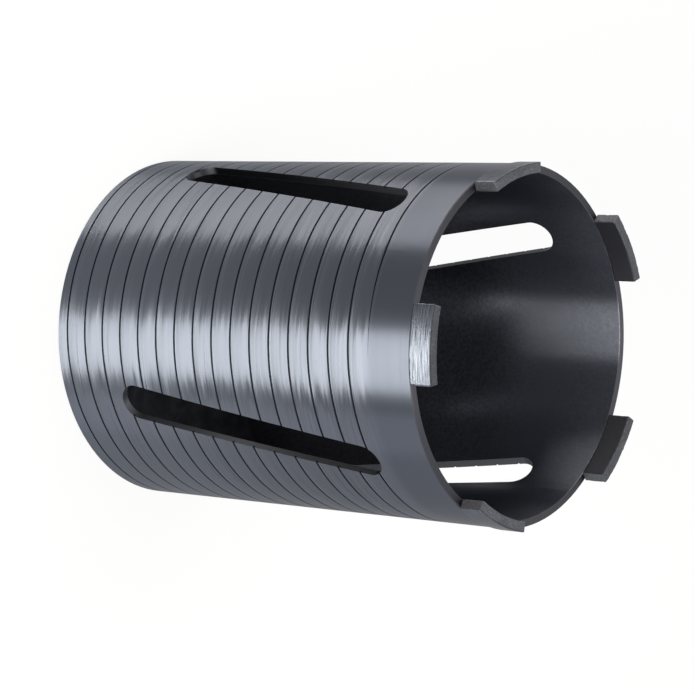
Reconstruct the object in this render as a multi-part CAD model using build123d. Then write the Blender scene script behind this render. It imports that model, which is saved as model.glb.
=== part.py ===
from build123d import *

import os
from math import atan2, degrees

# Dry diamond core bit: a thin steel barrel, closed at the back by a welded plate
# and a threaded hub, with sintered diamond segments standing on its open rim.
# Millimetres. The origin is the centre of the back face, and +Z is the cutting end.
# Angles are degrees about +Z, from +X.

# Barrel: a turned steel tube
barrel_diameter = 116.0
barrel_wall = 2.5
barrel_length = 150.0
rim_chamfer = 0.3
back_edge_chamfer = 0.8

# Dust groove: one helical V on the outside, off the back face and fading out before the rim
groove_pitch = 8.07
groove_width = 0.8
groove_depth = 0.5
groove_end_from_rim = 16.0
groove_end_angle = 236.0
groove_runout_angle = 28.0

# Slots milled through the barrel wall, leaning off the axis
slot_count = 4
slot_width = 12.0
slot_length = 104.0
slot_tilt = 9.5
slot_centre_from_rim = 71.7

# Diamond segments, standing on the rim
segment_count = 5
segment_thickness = 3.5
segment_height = 8.2
segment_width = 24.5
segment_edge_chamfer = 0.4
first_segment_angle = 21.4

# Back plate, welded flush into the barrel
plate_thickness = 6.0

# Threaded hub, with a 1/2 inch parallel pipe thread
hub_diameter = 34.0
hub_length = 28.0
hub_edge_chamfer = 1.0
thread_minor_diameter = 18.631
thread_major_diameter = 20.955

barrel_radius = barrel_diameter / 2
bore_radius = barrel_radius - barrel_wall
hub_radius = hub_diameter / 2


def turned(*outline, arc=360):
    """Revolve a half section, given as (radius, height) points, about Z from +X."""
    return revolve(Plane.XZ * make_face(Polyline(*outline, close=True)), Axis.Z, arc)


def groove_section(path):
    """The V of the groove across the start of its path, carried on outside the barrel."""
    overcut = groove_depth
    half_width = groove_width / 2 * (groove_depth + overcut) / groove_depth
    section = Polyline((-groove_depth, 0), (overcut, half_width), (overcut, -half_width), close=True)
    return Plane(path @ 0, x_dir=(1, 0, 0), z_dir=path % 0) * make_face(section)


def groove_turns(bottom, top, end_angle, slope=0.0):
    """The cutter's travel from one height to another, leaving the axis at the given slope."""
    path = Helix(groove_pitch, top - bottom, barrel_radius, center=(0, 0, bottom), cone_angle=slope)
    start_angle = end_angle - 360 * (top - bottom) / groove_pitch
    return Rot(0, 0, start_angle) * sweep(groove_section(path), path=path, is_frenet=True)


def slot(angle):
    """A round-ended slot through one side of the wall, milled straight in at the given angle."""
    outline = Rot(0, 0, 90 - slot_tilt) * SlotOverall(slot_length, slot_width)
    through_wall = extrude(Plane.YZ * outline, barrel_diameter)
    return Rot(0, 0, angle) * Pos(0, 0, barrel_length - slot_centre_from_rim) * through_wall


def barrel():
    tube = turned(
        (bore_radius, 0),
        (barrel_radius, 0),
        (barrel_radius, barrel_length - rim_chamfer),
        (barrel_radius - rim_chamfer, barrel_length),
        (bore_radius, barrel_length),
    )
    back_edge = tube.edges().group_by(Axis.Z)[0].sort_by(SortBy.LENGTH)[-1]
    tube = chamfer(back_edge, back_edge_chamfer)

    groove_end = barrel_length - groove_end_from_rim
    runout_start = groove_end - groove_pitch * groove_runout_angle / 360
    runout_slope = degrees(atan2(groove_depth, groove_end - runout_start))
    tube -= groove_turns(-groove_pitch, runout_start, groove_end_angle - groove_runout_angle)
    tube -= groove_turns(runout_start, groove_end, groove_end_angle, runout_slope)

    for k in range(slot_count):
        tube -= slot(360 * k / slot_count)
    return tube


def segment(angle):
    """A block bent to the barrel and centred on its wall, with every edge eased but its foot's."""
    middle_radius = barrel_radius - barrel_wall / 2
    outer_radius = middle_radius + segment_thickness / 2
    inner_radius = middle_radius - segment_thickness / 2
    top = barrel_length + segment_height
    arc = degrees(segment_width / middle_radius)
    block = turned(
        (inner_radius, barrel_length),
        (outer_radius, barrel_length),
        (outer_radius, top),
        (inner_radius, top),
        arc=arc,
    )
    foot_edges = block.edges().group_by(Axis.Z)[0]
    block = chamfer(block.edges() - foot_edges, segment_edge_chamfer)
    return Rot(0, 0, angle - arc / 2) * block


def back_plate():
    return turned(
        (hub_radius, 0),
        (bore_radius, 0),
        (bore_radius, plate_thickness),
        (hub_radius, plate_thickness),
    )


def threaded_hub():
    """A turned collar through the plate, its bore tapped from the back."""
    minor_radius = thread_minor_diameter / 2
    major_radius = thread_major_diameter / 2
    lead_in = major_radius - minor_radius
    return turned(
        (major_radius, 0),
        (hub_radius, 0),
        (hub_radius, hub_length - hub_edge_chamfer),
        (hub_radius - hub_edge_chamfer, hub_length),
        (minor_radius, hub_length),
        (minor_radius, lead_in),
    )


pieces = {
    "barrel": barrel(),
    "back_plate": back_plate(),
    "threaded_hub": threaded_hub(),
}
for k in range(segment_count):
    pieces[f"segment_{k + 1}"] = segment(first_segment_angle + 360 * k / segment_count)

os.makedirs("parts", exist_ok=True)
for name, piece in pieces.items():
    export_step(piece, f"parts/{name}.step")
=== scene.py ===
from math import cos, pi, radians, sin, tan, tau

import bmesh
import bpy
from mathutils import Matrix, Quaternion, Vector, noise


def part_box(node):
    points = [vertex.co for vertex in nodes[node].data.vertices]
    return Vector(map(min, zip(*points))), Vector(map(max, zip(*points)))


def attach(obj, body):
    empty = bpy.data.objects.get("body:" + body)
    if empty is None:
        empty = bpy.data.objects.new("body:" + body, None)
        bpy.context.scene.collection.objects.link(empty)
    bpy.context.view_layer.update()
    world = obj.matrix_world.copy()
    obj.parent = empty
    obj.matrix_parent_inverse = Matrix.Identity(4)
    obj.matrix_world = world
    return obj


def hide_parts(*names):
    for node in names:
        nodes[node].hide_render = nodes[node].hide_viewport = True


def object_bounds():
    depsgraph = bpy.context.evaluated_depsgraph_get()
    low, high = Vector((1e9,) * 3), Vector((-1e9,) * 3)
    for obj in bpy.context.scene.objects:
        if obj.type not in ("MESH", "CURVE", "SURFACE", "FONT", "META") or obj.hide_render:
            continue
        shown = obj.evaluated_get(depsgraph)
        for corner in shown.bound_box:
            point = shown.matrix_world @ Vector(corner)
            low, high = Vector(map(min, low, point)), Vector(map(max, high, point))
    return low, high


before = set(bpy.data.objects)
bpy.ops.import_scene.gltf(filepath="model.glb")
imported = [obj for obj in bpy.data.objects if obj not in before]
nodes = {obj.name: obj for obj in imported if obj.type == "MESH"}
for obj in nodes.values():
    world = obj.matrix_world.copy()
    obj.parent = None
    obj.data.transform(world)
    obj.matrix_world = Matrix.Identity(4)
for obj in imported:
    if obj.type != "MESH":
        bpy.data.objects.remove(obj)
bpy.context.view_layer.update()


# The barrel is a thin steel tube, turned on the outside and blackened by its heat treatment.
# One helical groove runs along it to carry the dust out, and four leaning slots are milled
# through its wall.
barrel_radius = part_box("barrel")[1].x
barrel_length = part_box("barrel")[1].z
barrel_bore_radius = barrel_radius - 0.0025
groove_pitch = 0.00807
groove_half_width = 0.0004
groove_bottom = barrel_radius - 0.0005
groove_end = barrel_length - 0.016
groove_end_angle = radians(236)

turned_steel = (0.0640, 0.0700, 0.0850, 1)
blued_steel = (0.0820, 0.0900, 0.1090, 1)
smooth_steel = (0.0545, 0.0600, 0.0740, 1)
scuffed_steel = (0.0950, 0.1020, 0.1210, 1)
groove_shadow = (0.012, 0.014, 0.021, 1)
milled_steel = (0.065, 0.067, 0.076, 1)
# The two bore colours below are painted light: lighter deep in the tube and darker at the mouth,
# standing in for how light falls inside it.
painted_light_at_bore_mouth = (0.0175, 0.0196, 0.0270, 1)
painted_light_deep_in_bore = (0.0570, 0.0590, 0.0740, 1)
loose_scale = (0.0250, 0.0270, 0.0360, 1)
rim_steel = (0.060, 0.061, 0.071, 1)


class Pattern:
    """A value, colour or place on its way through one material's nodes."""

    def __init__(self, socket):
        self.socket = socket
        self.tree = socket.id_data

    def node(self, kind, settings=None, sockets=None, output=0):
        """Add a node, set it up, fill its sockets and return one of its outputs."""
        made = self.tree.nodes.new(kind)
        for name, value in (settings or {}).items():
            setattr(made, name, value)
        for name, value in (sockets or {}).items():
            if isinstance(value, Pattern):
                self.tree.links.new(value.socket, made.inputs[name])
            else:
                made.inputs[name].default_value = value
        return Pattern(made.outputs[output])

    def math(self, operation, *others):
        values = dict(enumerate((self, *others)))
        return self.node("ShaderNodeMath", {"operation": operation}, values)

    def __add__(self, other):
        return self.math("ADD", other)

    __radd__ = __add__

    def __sub__(self, other):
        return self.math("SUBTRACT", other)

    def __rsub__(self, other):
        return self.node("ShaderNodeMath", {"operation": "SUBTRACT"}, {0: other, 1: self})

    def __mul__(self, other):
        return self.math("MULTIPLY", other)

    __rmul__ = __mul__

    def __truediv__(self, other):
        return self.math("DIVIDE", other)

    def __neg__(self):
        return self * -1

    def rise(self, low, high):
        """0 below low, 1 above high and smooth between."""
        limits = {"Value": self, "From Min": low, "From Max": high}
        return self.node("ShaderNodeMapRange", {"interpolation_type": "SMOOTHSTEP"}, limits)

    def mix(self, low, high):
        """One colour where this value is 0 and the other where it is 1."""
        colours = {"Factor": self, "A": low, "B": high}
        return self.node("ShaderNodeMix", {"data_type": "RGBA"}, colours, output=2)

    def parts(self):
        """The x, y and z of this place."""
        split = self.node("ShaderNodeSeparateXYZ", None, {"Vector": self}).socket.node
        return [Pattern(output) for output in split.outputs]

    def grain(self, x, y, z, detail=2.0):
        """Noise on this place, with this many grains to a metre along each axis."""
        stretched = {0: self, 1: (x, y, z)}
        scaled = self.node("ShaderNodeVectorMath", {"operation": "MULTIPLY"}, stretched)
        noise_sockets = {"Vector": scaled, "Scale": 1.0, "Detail": detail}
        return self.node("ShaderNodeTexNoise", None, noise_sockets)

    def bump(self, strength, distance):
        """The normal of a surface that rises with this value, up to a distance in metres."""
        sockets = {"Strength": strength, "Distance": distance, "Height": self}
        return self.node("ShaderNodeBump", None, sockets)

    def tilt(self, x, y, z):
        """This normal tipped towards a vector, as on the flanks of fine turning marks."""
        vector = self.node("ShaderNodeCombineXYZ", None, {"X": x, "Y": y, "Z": z})
        tipped = self.node("ShaderNodeVectorMath", {"operation": "ADD"}, {0: self, 1: vector})
        return self.node("ShaderNodeVectorMath", {"operation": "NORMALIZE"}, {0: tipped})


def start_finish(name, metal=1.0):
    """A new material, its shader and the place on the object, in metres."""
    material = bpy.data.materials.new(name)
    material.use_nodes = True
    shader = material.node_tree.nodes["Principled BSDF"]
    shader.inputs["Metallic"].default_value = metal
    coordinates = material.node_tree.nodes.new("ShaderNodeTexCoord")
    return material, shader, Pattern(coordinates.outputs["Object"])


def feed(shader, **patterns):
    """Link patterns to the shader's sockets, an underscore in a name standing for a space."""
    for name, pattern in patterns.items():
        pattern.tree.links.new(pattern.socket, shader.inputs[name.replace("_", " ")])


def dress(piece, material):
    piece.data.materials.clear()
    piece.data.materials.append(material)


barrel_steel, shader, place = start_finish("barrel_steel")
x, y, z = place.parts()
radius = (x * x + y * y).math("SQRT")
angle = y.math("ARCTAN2", x)
on_outside = radius.rise(barrel_radius - 0.00006, barrel_radius - 0.00003)
on_bore = 1 - radius.rise(barrel_bore_radius + 0.00005, barrel_bore_radius + 0.0001)
on_rim = z.rise(barrel_length - 0.0004, barrel_length - 0.0003)
in_groove = radius.rise(groove_bottom - 0.0002, groove_bottom - 0.0001) * (1 - on_outside)
back_turn = (groove_end_angle - angle) / tau
turn = (z - groove_end) / groove_pitch + back_turn.math("FRACT")
off_groove = turn.math("PINGPONG", 0.5) * groove_pitch
near_groove = 1 - off_groove.rise(groove_half_width * 0.6, groove_half_width * 1.4)
past_groove = turn.math("FRACT")
grooved = 1 - z.rise(groove_end - 0.003, groove_end + 0.002)
streaks = place.grain(22, 22, 2600, 3).rise(0.42, 0.62)
scuffs = streaks * (1 - past_groove.rise(0.02, 0.6)) * grooved * on_outside
rings = place.grain(12, 12, 1400, 3) - 0.5
smudges = place.grain(35, 35, 35, 4)

colour = z.rise(0, barrel_length * 0.85).mix(blued_steel, turned_steel)
colour = scuffs.mix(grooved.mix(smooth_steel, colour), scuffed_steel)
colour = on_outside.mix(milled_steel, colour)
colour = (in_groove * near_groove).mix(colour, groove_shadow)
# Painted light: the bore's colour grows lighter with depth and darker towards the mouth.
bore_painted_light = z.rise(barrel_length * 0.53, barrel_length * 0.93).mix(painted_light_deep_in_bore, painted_light_at_bore_mouth)
mottle = place.grain(900, 900, 900, 5).rise(0.3, 0.7)
colour = on_bore.mix(colour, (mottle * 0.7).mix(bore_painted_light, loose_scale))
colour = on_rim.mix(colour, rim_steel)
roughness = (0.28 + 0.16 * scuffs + 0.28 * rings * grooved + 0.08 * smudges) * on_outside
inner_roughness = 0.50 - 0.25 * on_bore + 0.10 * place.grain(700, 700, 700)
roughness = roughness + inner_roughness * (1 - on_outside)
lean = (0.42 + 0.04 * grooved + rings * (0.1 + 0.2 * grooved)) * on_outside
near_mouth = z.rise(barrel_length * 0.5, barrel_length * 0.77)
lean = lean + (0.41 + 0.10 * place.grain(1200, 1200, 1200)) * near_mouth * on_bore
swirl = 3.2 * (place.grain(10, 10, 850, 4) - 0.5) * grooved * on_outside
normal = place.node("ShaderNodeNewGeometry", output=1).tilt(-y * swirl, x * swirl, lean)
feed(shader, Base_Color=colour, Metallic=1 - 0.5 * on_bore, Roughness=roughness, Normal=normal)
shader.inputs["Specular IOR Level"].default_value = 0.15
shader.inputs["Anisotropic"].default_value = 0.8
shader.inputs["Anisotropic Rotation"].default_value = 0.25
dress(nodes["barrel"], barrel_steel)


# The back plate is a steel disc welded flush into the barrel, left as it was cut and scaled by
# the welding. Its near-black colour is partly that scale and partly painted shade from inside
# the tube.
weld_edge = 0.019
heated_width = 0.006
tool_rings_per_metre = 1300

plate_steel, shader, place = start_finish("plate_steel")
x, y, z = place.parts()
radius = (x * x + y * y).math("SQRT")
scale = place.grain(240, 240, 240, 6)
pits = place.grain(1400, 1400, 1400, 3)
tool_rings = (radius * tool_rings_per_metre + scale * 0.3).math("PINGPONG", 0.5)
near_weld = 1 - radius.rise(weld_edge, weld_edge + heated_width)
# Painted shade: these near-black colours also stand in for the shade deep inside the tube.
colour = scale.rise(0.3, 0.75).mix((0.024, 0.025, 0.030, 1), (0.042, 0.043, 0.049, 1))
colour = (near_weld * 0.7).mix(colour, (0.028, 0.028, 0.042, 1))
roughness = 0.34 + 0.15 * scale + 0.1 * pits
marks = (tool_rings + 0.4 * pits).bump(0.6, 0.00012)
feed(shader, Base_Color=colour, Roughness=roughness, Normal=marks)
dress(nodes["back_plate"], plate_steel)


# The hub is a turned collar through the plate. Its bore is tapped with a half-inch pipe
# thread, cut from the back, that screws onto the drill's adaptor.
hub_radius = 0.017
hub_length = 0.028
hub_edge_chamfer = 0.001
thread_pitch = 0.001814
thread_minor_radius = 0.0093155
thread_major_radius = 0.0104775
thread_samples = 192
hub_steps = 96


def ring_mesh(name, steps, section):
    """A closed ring. section(angle) gives the loop of (radius, z) points at a step round."""
    shape = bmesh.new()
    loops = []
    for k in range(steps):
        angle = tau * k / steps
        points = [(r * cos(angle), r * sin(angle), z) for r, z in section(angle)]
        loops.append([shape.verts.new(point) for point in points])
    for k, loop in enumerate(loops):
        following = loops[(k + 1) % steps]
        for i, corner in enumerate(loop):
            j = (i + 1) % len(loop)
            shape.faces.new((corner, following[i], following[j], loop[j]))
    bmesh.ops.recalc_face_normals(shape, faces=shape.faces)
    mesh = bpy.data.meshes.new(name)
    shape.to_mesh(mesh)
    shape.free()
    return mesh


def add_piece(name, mesh, material, stands_for=None):
    """Put a piece on the one rigid body, in place of a CAD node if one is named."""
    piece = bpy.data.objects.new(name, mesh)
    bpy.context.scene.collection.objects.link(piece)
    mesh.shade_smooth()
    dress(piece, material)
    if stands_for:
        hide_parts(stands_for)
    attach(piece, "root")
    return piece


def hub_section(angle):
    """The hub's outside, then down its bore through the thread."""
    chamfer_foot = (hub_radius, hub_length - hub_edge_chamfer)
    chamfer_top = (hub_radius - hub_edge_chamfer, hub_length)
    points = [(hub_radius, 0), chamfer_foot, chamfer_top]
    for k in range(thread_samples + 1):
        z = hub_length * (1 - k / thread_samples)
        depth = 0.5 - 0.5 * cos(tau * z / thread_pitch - angle)
        thread = thread_minor_radius + (thread_major_radius - thread_minor_radius) * depth
        lead_in = thread_major_radius - min(z, hub_length - z)
        points.append((max(thread, lead_in), z))
    return points


hub_steel, shader, place = start_finish("hub_steel")
turning = place.grain(30, 30, 3500)
scale = place.grain(90, 90, 90, 4)
colour = scale.mix((0.16, 0.16, 0.17, 1), (0.30, 0.30, 0.31, 1))
roughness = 0.26 + 0.15 * turning + 0.1 * scale
feed(shader, Base_Color=colour, Roughness=roughness, Normal=turning.bump(0.4, 0.00005))
hub_mesh = ring_mesh("tapped_hub", hub_steps, hub_section)
hub = add_piece("tapped_hub", hub_mesh, hub_steel, "threaded_hub")
for face in hub.data.polygons:
    face.use_smooth = abs(face.normal.z) < 0.9


# A fillet weld runs round the hub where it passes through the plate, laid in short overlapping
# ripples and left with its heat colour.
weld_leg = 0.0024
weld_root = 0.0003
weld_ripples = 66
ripple_depth = 0.12
crown_height = 0.18
weld_steps = weld_ripples * 6
plate_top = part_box("back_plate")[1].z


def weld_section(angle):
    """From the weld's hidden root, over its rounded face from the plate to the hub."""
    ripple = 1 - ripple_depth * abs(sin(weld_ripples * angle / 2)) ** 3
    points = [(hub_radius - weld_root, plate_top - weld_root)]
    for k in range(9):
        across = k / 8
        leg = weld_leg * ripple * (1 + crown_height * sin(pi * across))
        points.append((hub_radius + leg * (1 - across), plate_top + leg * across))
    return points


weld_metal, shader, place = start_finish("weld_metal", metal=0.6)
heat = place.grain(160, 160, 160, 3)
colour = heat.rise(0.35, 0.65).mix((0.20, 0.19, 0.20, 1), (0.36, 0.34, 0.31, 1))
spatter = place.grain(2500, 2500, 2500).bump(0.3, 0.00005)
feed(shader, Base_Color=colour, Roughness=0.3 + 0.25 * heat, Normal=spatter)
weld_mesh = ring_mesh("hub_weld", weld_steps, weld_section)
add_piece("hub_weld", weld_mesh, weld_metal)


# The five segments are diamond grit sintered in a metal bond and welded to the rim. They are
# ground to size outside, which leaves bright scratches, and their edges are slightly broken.
segment_count = 5
segment_width = 0.0245
segment_thickness = 0.0035
segment_middle_radius = 0.05675
segment_inner_radius = segment_middle_radius - segment_thickness / 2
segment_outer_radius = segment_middle_radius + segment_thickness / 2
segment_arc = segment_width / segment_middle_radius
segment_foot = barrel_length
segment_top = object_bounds()[1].z
first_segment_angle = radians(21.4)
segment_edge = 0.0003
chips_per_metre = 700
cell = 0.00035


def segment_mesh(name, middle_angle, number):
    """A bent block with worn and chipped edges, its surface split into small cells."""
    size = (segment_width, segment_thickness, segment_top - segment_foot)
    count = [max(2, round(length / cell)) for length in size]
    shape = bmesh.new()
    corners = {}

    def corner(*index):
        """The surface point at a cell's corner: along the arc, across the wall and up."""
        if index in corners:
            return corners[index]
        at = Vector(size[a] * index[a] / count[a] for a in range(3))
        own_chips = at * chips_per_metre + Vector((number * 7.3, 0, 0))
        chips = noise.noise(own_chips) + 0.5 * noise.noise(at * chips_per_metre * 3)
        edge = segment_edge * (1 + 1.8 * max(chips, 0))
        inner = Vector(min(max(at[a], edge), size[a] - edge) for a in range(3))
        inner.z = max(inner.z, min(at.z, edge))
        out = at - inner
        if out.length > 0:
            at = inner + out.normalized() * edge
        angle = middle_angle + (at.x / size[0] - 0.5) * segment_arc
        radius = segment_inner_radius + at.y
        bent = (radius * cos(angle), radius * sin(angle), segment_foot + at.z)
        corners[index] = shape.verts.new(bent)
        return corners[index]

    for axis in range(3):
        first, second = (axis + 1) % 3, (axis + 2) % 3
        for side in (0, count[axis]):
            for p in range(count[first]):
                for q in range(count[second]):
                    square = []
                    for dp, dq in ((0, 0), (1, 0), (1, 1), (0, 1)):
                        index = [0, 0, 0]
                        index[axis], index[first], index[second] = side, p + dp, q + dq
                        square.append(corner(*index))
                    shape.faces.new(square)
    bmesh.ops.recalc_face_normals(shape, faces=shape.faces)
    mesh = bpy.data.meshes.new(name)
    shape.to_mesh(mesh)
    shape.free()
    return mesh


segment_bond, shader, place = start_finish("segment_bond")
x, y, z = place.parts()
radius = (x * x + y * y).math("SQRT")
ground = radius.rise(segment_outer_radius - 0.00018, segment_outer_radius - 0.00005)
inner_face_painted_shade = 1 - radius.rise(segment_inner_radius + 0.00005, segment_inner_radius + 0.0002)
scratches = place.grain(160, 160, 9000, 2)
grit = place.grain(2600, 2600, 2600, 3)
bond = grit.rise(0.3, 0.7).mix((0.053, 0.055, 0.062, 1), (0.115, 0.119, 0.132, 1))
# Painted shade: the segments' inner faces are darkened to the near-black of the tube's shaded
# inside.
bond = inner_face_painted_shade.mix(bond, (0.035, 0.035, 0.042, 1))
# Painted shade: the rounded outer edges next to the ground face are darkened, standing in for
# the shade on them.
edge_painted_shade = radius.rise(segment_outer_radius - 0.0005, segment_outer_radius - 0.0003) * (1 - ground)
bond = (edge_painted_shade * 0.7).mix(bond, (0.020, 0.021, 0.025, 1))
bright = scratches.rise(0.35, 0.6).mix((0.034, 0.038, 0.047, 1), (0.086, 0.093, 0.111, 1))
bright = z.rise(segment_foot, segment_foot + 0.0006).mix((0.022, 0.023, 0.028, 1), bright)
colour = ground.mix(bond, bright)
roughness = 0.52 - 0.28 * ground + 0.12 * grit
lean = (0.40 + 0.7 * (scratches - 0.5)) * ground
normal = (grit * (1 - 0.6 * ground)).bump(0.8, 0.00012).tilt(0, 0, lean)
feed(shader, Base_Color=colour, Roughness=roughness, Normal=normal)
shader.inputs["Anisotropic"].default_value = 0.6
shader.inputs["Anisotropic Rotation"].default_value = 0.25
for number in range(segment_count):
    name = f"segment_{number + 1}"
    middle_angle = first_segment_angle + tau * number / segment_count
    mesh = segment_mesh("ground_" + name, middle_angle, number)
    add_piece("ground_" + name, mesh, segment_bond, name)


# The bit stands on a white table, with one soft light beside the camera, a second at the left
# and weak ones at the right, behind and overhead.
camera_azimuth = radians(-124.205)
camera_elevation = radians(39.258)
camera_distance = 0.9246
camera_roll = radians(93.481)
camera_aim = Vector((0.0029, -0.0021, 0.0785))


def bearing(azimuth, elevation):
    return Vector((cos(elevation) * cos(azimuth), cos(elevation) * sin(azimuth), sin(elevation)))


camera_data = bpy.data.cameras.new("camera")
camera_data.sensor_width = 36
camera_data.lens = 143.95
camera = bpy.data.objects.new("camera", camera_data)
back = bearing(camera_azimuth, camera_elevation)
camera.location = camera_aim + back * camera_distance
camera.rotation_mode = "QUATERNION"
camera.rotation_quaternion = back.to_track_quat("Z", "Y") @ Quaternion((0, 0, 1), camera_roll)
bpy.context.scene.collection.objects.link(camera)
bpy.context.scene.camera = camera


def soft_light(name, turned, raised, radiance, colour):
    """A soft box 1.6 m away, spanning these degrees round from the camera and up from level."""
    distance = 1.6
    watts_for_radiance = 4
    lamp = bpy.data.lights.new(name, "AREA")
    lamp.shape = "RECTANGLE"
    lamp.size = 2 * distance * tan(radians(turned[1] - turned[0]) / 2)
    lamp.size_y = 2 * distance * tan(radians(raised[1] - raised[0]) / 2)
    lamp.energy = radiance * watts_for_radiance * lamp.size * lamp.size_y
    lamp.color = colour
    light = bpy.data.objects.new(name, lamp)
    azimuth = camera_azimuth + radians(sum(turned) / 2)
    towards = bearing(azimuth, radians(sum(raised) / 2))
    light.location = Vector((0, 0, barrel_length / 2)) + towards * distance
    light.rotation_euler = towards.to_track_quat("Z", "Y").to_euler()
    bpy.context.scene.collection.objects.link(light)


soft_light("key_light", (-3, 30), (3, 30), 12, (1, 0.98, 0.90))
soft_light("left_light", (-101, -53), (0, 15), 7.6, (1, 0.93, 0.84))
soft_light("right_light", (42, 66), (0, 16), 2.1, (1, 1, 1))
soft_light("far_light", (66, 125), (0, 20), 1.15, (1, 1, 1))
soft_light("back_light", (-150, -118), (0, 30), 2.4, (1, 0.97, 0.94))
soft_light("top_light", (-20, 20), (70, 110), 1.6, (1, 1, 1))

floor_reach = 1.1
floor_glow = 0.85
sky_on_object = 0.4
floor_mesh = bpy.data.meshes.new("floor")
sides = (-floor_reach, floor_reach)
floor_mesh.from_pydata([(x, y, 0) for x in sides for y in sides], [], [(0, 2, 3, 1)])
floor = bpy.data.objects.new("floor", floor_mesh)
bpy.context.scene.collection.objects.link(floor)


def background_ray(place):
    """1 for a ray that shows the background, straight or through metal and glass."""
    rays = place.node("ShaderNodeLightPath").socket.node
    kinds = ("Is Camera Ray", "Is Glossy Ray", "Is Transmission Ray")
    camera_ray, glossy_ray, through_ray = (Pattern(rays.outputs[kind]) for kind in kinds)
    return camera_ray.math("MAXIMUM", glossy_ray).math("MAXIMUM", through_ray)


white_table, shader, place = start_finish("white_table", metal=0.0)
shader.inputs["Base Color"].default_value = (0.9, 0.9, 0.9, 1)
shader.inputs["Roughness"].default_value = 1.0
lit = Pattern(shader.outputs[0])
shine = place.node("ShaderNodeEmission")
share = background_ray(place) * floor_glow
surface = place.node("ShaderNodeMixShader", None, {0: share, 1: lit, 2: shine})
place.tree.links.new(surface.socket, place.tree.nodes["Material Output"].inputs["Surface"])
dress(floor, white_table)

studio = bpy.data.worlds.new("studio")
studio.use_nodes = True
bpy.context.scene.world = studio
background = studio.node_tree.nodes["Background"]
background.inputs["Color"].default_value = (1, 1, 1, 1)
seen = background_ray(Pattern(background.outputs[0]))
brightness = seen * (1 - sky_on_object) + sky_on_object
studio.node_tree.links.new(brightness.socket, background.inputs["Strength"])
bpy.context.scene.view_settings.view_transform = "Standard"
